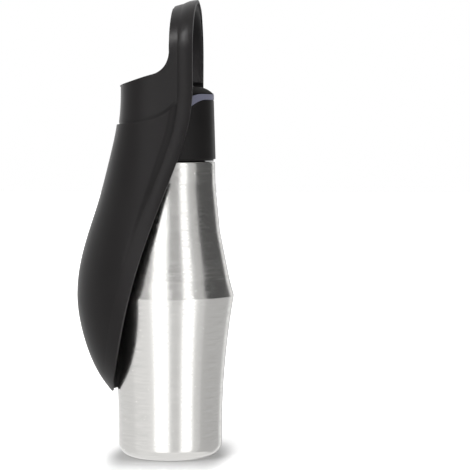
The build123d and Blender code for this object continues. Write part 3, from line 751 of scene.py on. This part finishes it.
BOSS_RADIUS, BOSS_FACE, BOSS_ROOT, PIN_HOLE = 5.2, 30.8, 35.0, 2.85
boss_outline = [(PIN_HOLE, BOSS_ROOT), (PIN_HOLE, BOSS_FACE + 0.1), (PIN_HOLE + 0.15, BOSS_FACE),
                (BOSS_RADIUS - 0.3, BOSS_FACE), (BOSS_RADIUS - 0.05, BOSS_FACE + 0.1),
                (BOSS_RADIUS, BOSS_FACE + 0.3), (BOSS_RADIUS, BOSS_ROOT), (PIN_HOLE, BOSS_ROOT)]
turned_on_pivot("pin_bosses", boss_outline, satin_frame, "trough")

# ---- Trough: grip ----
# Soft grey liner overmoulded inside the loop, its grey darkened almost to black as painted shade for the
# shade inside the loop. Its two feet end level beside the cap.

# Painted shade: the liner's grey is set near black to stand for the shade inside the loop.
grip_painted_shade = moulded("grip_painted_shade", (0.014, 0.013, 0.0135), 0.62, 1700, 0.3, sheen=0.02)
GRIP_FRONT, GRIP_BACK, GRIP_FOOT, GRIP_ROUND = -17.3, -3.9, 235.6, 1.5
GRIP_HALF, GRIP_CROWN, GRIP_BEND = 32.4, 279.9, 38.4


def grip_section(outer, inner):
    """Closed rounded section carried along the loop between its outer and inner lines: corners
    are eased where the hand is, and the ends are drawn to a point in their own plane."""
    turn = np.linspace(0, np.pi / 2, 6)
    in_by, on_by = GRIP_ROUND - GRIP_ROUND * np.sin(turn), GRIP_ROUND - GRIP_ROUND * np.cos(turn)
    front = np.stack([in_by, GRIP_FRONT + on_by], -1)
    back = np.stack([on_by, GRIP_BACK - in_by], -1)
    inside = np.array([(99.0, GRIP_FRONT), (99.0, GRIP_BACK)])
    section = np.vstack([inside[:1], front, back, inside[1:]])
    run = np.linalg.norm(outer - inner, axis=1)[:, None]
    share = np.minimum(section[None, :, 0] / run, 1)
    x = inner[:, :1] + (outer[:, :1] - inner[:, :1]) * share
    z = inner[:, 1:] + (outer[:, 1:] - inner[:, 1:]) * share
    y = section[None, :, 1] + 0 * run
    up_arch = np.clip((z - SPRING_Z) / (CROWN_Z - SPRING_Z), 0, 1)
    fall = (y - FRONT) / LOOP_WIDTH * CROWN_FALL * up_arch ** 1.6
    z = np.minimum(z - fall, back_corner(y) - 0.4)
    return np.stack([x, y, z], -1)


leg_z = np.linspace(GRIP_FOOT, SPRING_Z, 18)[:-1]
leg_t = (leg_z - GRIP_FOOT) / (SPRING_Z - GRIP_FOOT)
leg_inner = np.stack([29.9 + 2.5 * (1 - (1 - leg_t) ** 2.2), leg_z], -1)
leg_outer = np.stack([half_at(leg_z) - WALL, leg_z], -1)
arch_share = np.linspace(0, 1, 56)
arch_outer = loop_arch(LOOP_HALF - WALL, CROWN_Z - WALL, CROWN_BEND - WALL, arch_share)
arch_inner = loop_arch(GRIP_HALF, GRIP_CROWN, GRIP_BEND, arch_share)
outer_line = np.vstack([leg_outer, np.stack(arch_outer, -1)])
inner_line = np.vstack([leg_inner, np.stack(arch_inner, -1)])
grip_half = grip_section(outer_line, inner_line)
grip_points = pointed(np.concatenate([grip_half, grip_half[-2::-1] * [-1, 1, 1]]))
finish_piece("loop_grip", grip_points, quads_of(*grip_points.shape[:2], around=True), grip_painted_shade, "trough",
             ["grip_liner"])

# ---- Trough: pivot pins ----
# Two turned steel pins, pressed into the bosses and free in the cap's sockets.

turned_pin = brushed_metal("turned_pin", (0.58, 0.58, 0.58), 0.28, 0.05)
PIN_RADIUS, PIN_OUT, PIN_IN, PIN_CHAMFER = 2.8, 35.1, 24.8, 0.3
pin_outline = [(0.0, PIN_OUT), (PIN_RADIUS - PIN_CHAMFER, PIN_OUT), (PIN_RADIUS, PIN_OUT - PIN_CHAMFER),
               (PIN_RADIUS, PIN_IN + PIN_CHAMFER), (PIN_RADIUS - PIN_CHAMFER, PIN_IN), (0.0, PIN_IN)]
turned_on_pivot("turned_pins", pin_outline, turned_pin, "trough", ["pivot_pins"])

# ---- Studio ----
# Pale floor and white surround. Upright cards stand round the bottle for the steel to mirror:
# two white strips in front, greys between and beside them, and a dark one on the right. One
# small bright card up on the left is what the black loop gleams with.


def emitting(name, strength):
    """Card that gives off light of its own of the given strength."""
    material, nodes, links, shader = nodes_of(name)
    nodes.remove(shader)
    glow = nodes.new("ShaderNodeEmission")
    glow.inputs["Strength"].default_value = strength
    links.new(glow.outputs["Emission"], nodes["Material Output"].inputs["Surface"])
    material.cycles.emission_sampling = "NONE"
    return material


VIEW, CARD_LEVEL, CARD_COLUMNS = np.radians(-83.7), 0.12, 16
toward_camera = np.array([np.sin(VIEW), -np.cos(VIEW)])
screen_right = np.array([np.cos(VIEW), np.sin(VIEW)])


def upright_card(name, left, right, low, high, strength, distance=1.9):
    """Curved upright card that only mirrors see: it covers the directions from left to right
    and from low to high, in degrees from the camera and from level, on a circle round the
    bottle at the height of its middle."""
    turn = np.radians(np.linspace(left, right, CARD_COLUMNS))
    x = distance * (np.cos(turn) * toward_camera[0] + np.sin(turn) * screen_right[0])
    y = distance * (np.cos(turn) * toward_camera[1] + np.sin(turn) * screen_right[1])
    foot, head = CARD_LEVEL + distance * np.tan(np.radians((low, high)))
    points = np.stack([np.stack([x, y, 0 * x + foot], -1), np.stack([x, y, 0 * x + head], -1)])
    mesh = bpy.data.meshes.new(name)
    mesh.from_pydata(points.reshape(-1, 3), [], quads_of(2, CARD_COLUMNS).tolist())
    mesh.materials.append(emitting(name, strength))
    card = bpy.data.objects.new(name, mesh)
    bpy.context.scene.collection.objects.link(card)
    card.visible_camera = card.visible_diffuse = card.visible_shadow = card.visible_transmission = False


upright_card("grey_left_low", -150, -85, -40, -4, 0.87)
upright_card("grey_left_high", -75, -35, -4, 44, 0.60)
upright_card("strip_left_low", -35, -3, -40, -4, 1.9)
upright_card("strip_left_high", -35, -6, -4, 44, 1.9)
upright_card("grey_middle_low", -3, 23, -40, -4, 0.76)
upright_card("grey_middle_high", -6, 25, -4, 44, 0.51)
upright_card("strip_right_low", 23, 48, -40, -4, 1.9)
upright_card("strip_right_high", 25, 43, -4, 44, 1.9)
upright_card("grey_right_low", 50, 68, -40, -4, 0.82)
upright_card("grey_right_high", 43, 66, -4, 44, 0.64)
upright_card("dark_right", 68, 138, -4, 44, 0.105)
upright_card("grey_low", 68, 138, -40, -4, 0.60)
upright_card("edge_right", 160, 174, -40, 44, 0.30)
upright_card("high_gleam", -28, -17, 32, 50, 36.0, distance=1.6)

# The white that the camera sees on the floor grows with the distance from the foot, measured
# in a rounded shape drawn out along x. The dark patch round the foot is therefore a painted shadow
# laid over the lamps' own shadow, and the floor's own grey is kept low so that the patch stays dark.
floor_mesh = bpy.data.meshes.new("floor")
floor_mesh.from_pydata([(-6, -6, 0), (6, -6, 0), (6, 6, 0), (-6, 6, 0)], [], [(0, 1, 2, 3)])
floor = bpy.data.objects.new("floor", floor_mesh)
bpy.context.scene.collection.objects.link(floor)
floor_white_painted_shadow, nodes, links, shader = nodes_of("floor_white_painted_shadow")
shader.inputs["Base Color"].default_value = (0.54, 0.54, 0.54, 1)
shader.inputs["Roughness"].default_value = 0.9
path = nodes.new("ShaderNodeLightPath")
place = nodes.new("ShaderNodeTexCoord")
last = place.outputs["Object"]
for operation, amount in (("MULTIPLY", (0.25, 1, 1)), ("ABSOLUTE", (0, 0, 0)),
                          ("SUBTRACT", (0, 0.0245, 0)), ("MAXIMUM", (0, 0, 0))):
    step = nodes.new("ShaderNodeVectorMath")
    step.operation = operation
    step.inputs[1].default_value = amount
    links.new(last, step.inputs[0])
    last = step.outputs["Vector"]
reach = nodes.new("ShaderNodeVectorMath")
reach.operation = "LENGTH"
links.new(last, reach.inputs[0])
lift = nodes.new("ShaderNodeMath")
lift.operation = "MULTIPLY"
links.new(path.outputs["Is Camera Ray"], lift.inputs[0])
white_round_painted_shadow = nodes.new("ShaderNodeMath")
# Painted shadow: the two ramps give no white next to the foot and full white further out.
ramps = (("SMOOTHSTEP", 0.0053, 0.0195, 0.6), ("LINEAR", 0.0185, 0.08, 0.5))
for number, (kind, begin, end, most) in enumerate(ramps):
    ramp = nodes.new("ShaderNodeMapRange")
    ramp.interpolation_type = kind
    ramp.inputs["From Min"].default_value, ramp.inputs["From Max"].default_value = begin, end
    ramp.inputs["To Min"].default_value, ramp.inputs["To Max"].default_value = 0.0, most
    links.new(reach.outputs["Value"], ramp.inputs["Value"])
    links.new(ramp.outputs["Result"], white_round_painted_shadow.inputs[number])
links.new(white_round_painted_shadow.outputs["Value"], lift.inputs[1])
shader.inputs["Emission Color"].default_value = (1, 1, 1, 1)
links.new(lift.outputs["Value"], shader.inputs["Emission Strength"])
floor_mesh.materials.append(floor_white_painted_shadow)
floor.visible_glossy = False

world = bpy.data.worlds.new("surround")
bpy.context.scene.world = world
world.use_nodes = True
sky = world.node_tree
path = sky.nodes.new("ShaderNodeLightPath")
seen = sky.nodes.new("ShaderNodeMath")
seen.operation = "MAXIMUM"
level = sky.nodes.new("ShaderNodeMapRange")
level.inputs["To Min"].default_value = 0.45
level.inputs["To Max"].default_value = 1.0
glassy = sky.nodes.new("ShaderNodeMath")
glassy.operation = "MAXIMUM"
sky.links.new(path.outputs["Is Camera Ray"], seen.inputs[0])
sky.links.new(path.outputs["Is Glossy Ray"], seen.inputs[1])
sky.links.new(seen.outputs["Value"], glassy.inputs[0])
sky.links.new(path.outputs["Is Transmission Ray"], glassy.inputs[1])
sky.links.new(glassy.outputs["Value"], level.inputs["Value"])
sky.links.new(level.outputs["Result"], sky.nodes["Background"].inputs["Strength"])
sky.nodes["Background"].inputs["Color"].default_value = (1, 1, 1, 1)


def soft_lamp(name, turn, height, distance, size, power):
    """Square soft lamp at an angle from the camera, aimed at the bottle's middle."""
    light = bpy.data.lights.new(name, "AREA")
    light.shape = "RECTANGLE"
    light.size, light.size_y = size
    light.energy = power
    lamp = bpy.data.objects.new(name, light)
    bpy.context.scene.collection.objects.link(lamp)
    turn = np.radians(turn)
    flat = distance * (np.cos(turn) * toward_camera + np.sin(turn) * screen_right)
    lamp.location = (flat[0], flat[1], height)
    aim = Vector((0, 0, 0.14)) - lamp.location
    lamp.rotation_euler = aim.to_track_quat("-Z", "Y").to_euler()
    lamp.visible_glossy = False


soft_lamp("lamp_left", -50, 1.3, 1.6, (1.2, 1.2), 22)
soft_lamp("lamp_right", 55, 1.1, 1.7, (1.0, 1.2), 14)
soft_lamp("lamp_over", 170, 1.9, 0.9, (1.4, 1.4), 7)

CAMERA_AWAY, CAMERA_LEVEL, AIM_RIGHT, AIM_LEVEL = 1.2, 0.199, 0.0409, 0.13915
camera_data = bpy.data.cameras.new("camera")
camera_data.sensor_width = 36
camera_data.lens = 145.9
camera_data.clip_start, camera_data.clip_end = 0.05, 30
camera = bpy.data.objects.new("camera", camera_data)
bpy.context.scene.collection.objects.link(camera)
camera.location = (*(CAMERA_AWAY * toward_camera), CAMERA_LEVEL)
target = Vector((*(AIM_RIGHT * screen_right), AIM_LEVEL))
camera.rotation_euler = (target - camera.location).to_track_quat("-Z", "Y").to_euler()
bpy.context.scene.camera = camera
bpy.context.scene.view_settings.view_transform = "Standard"
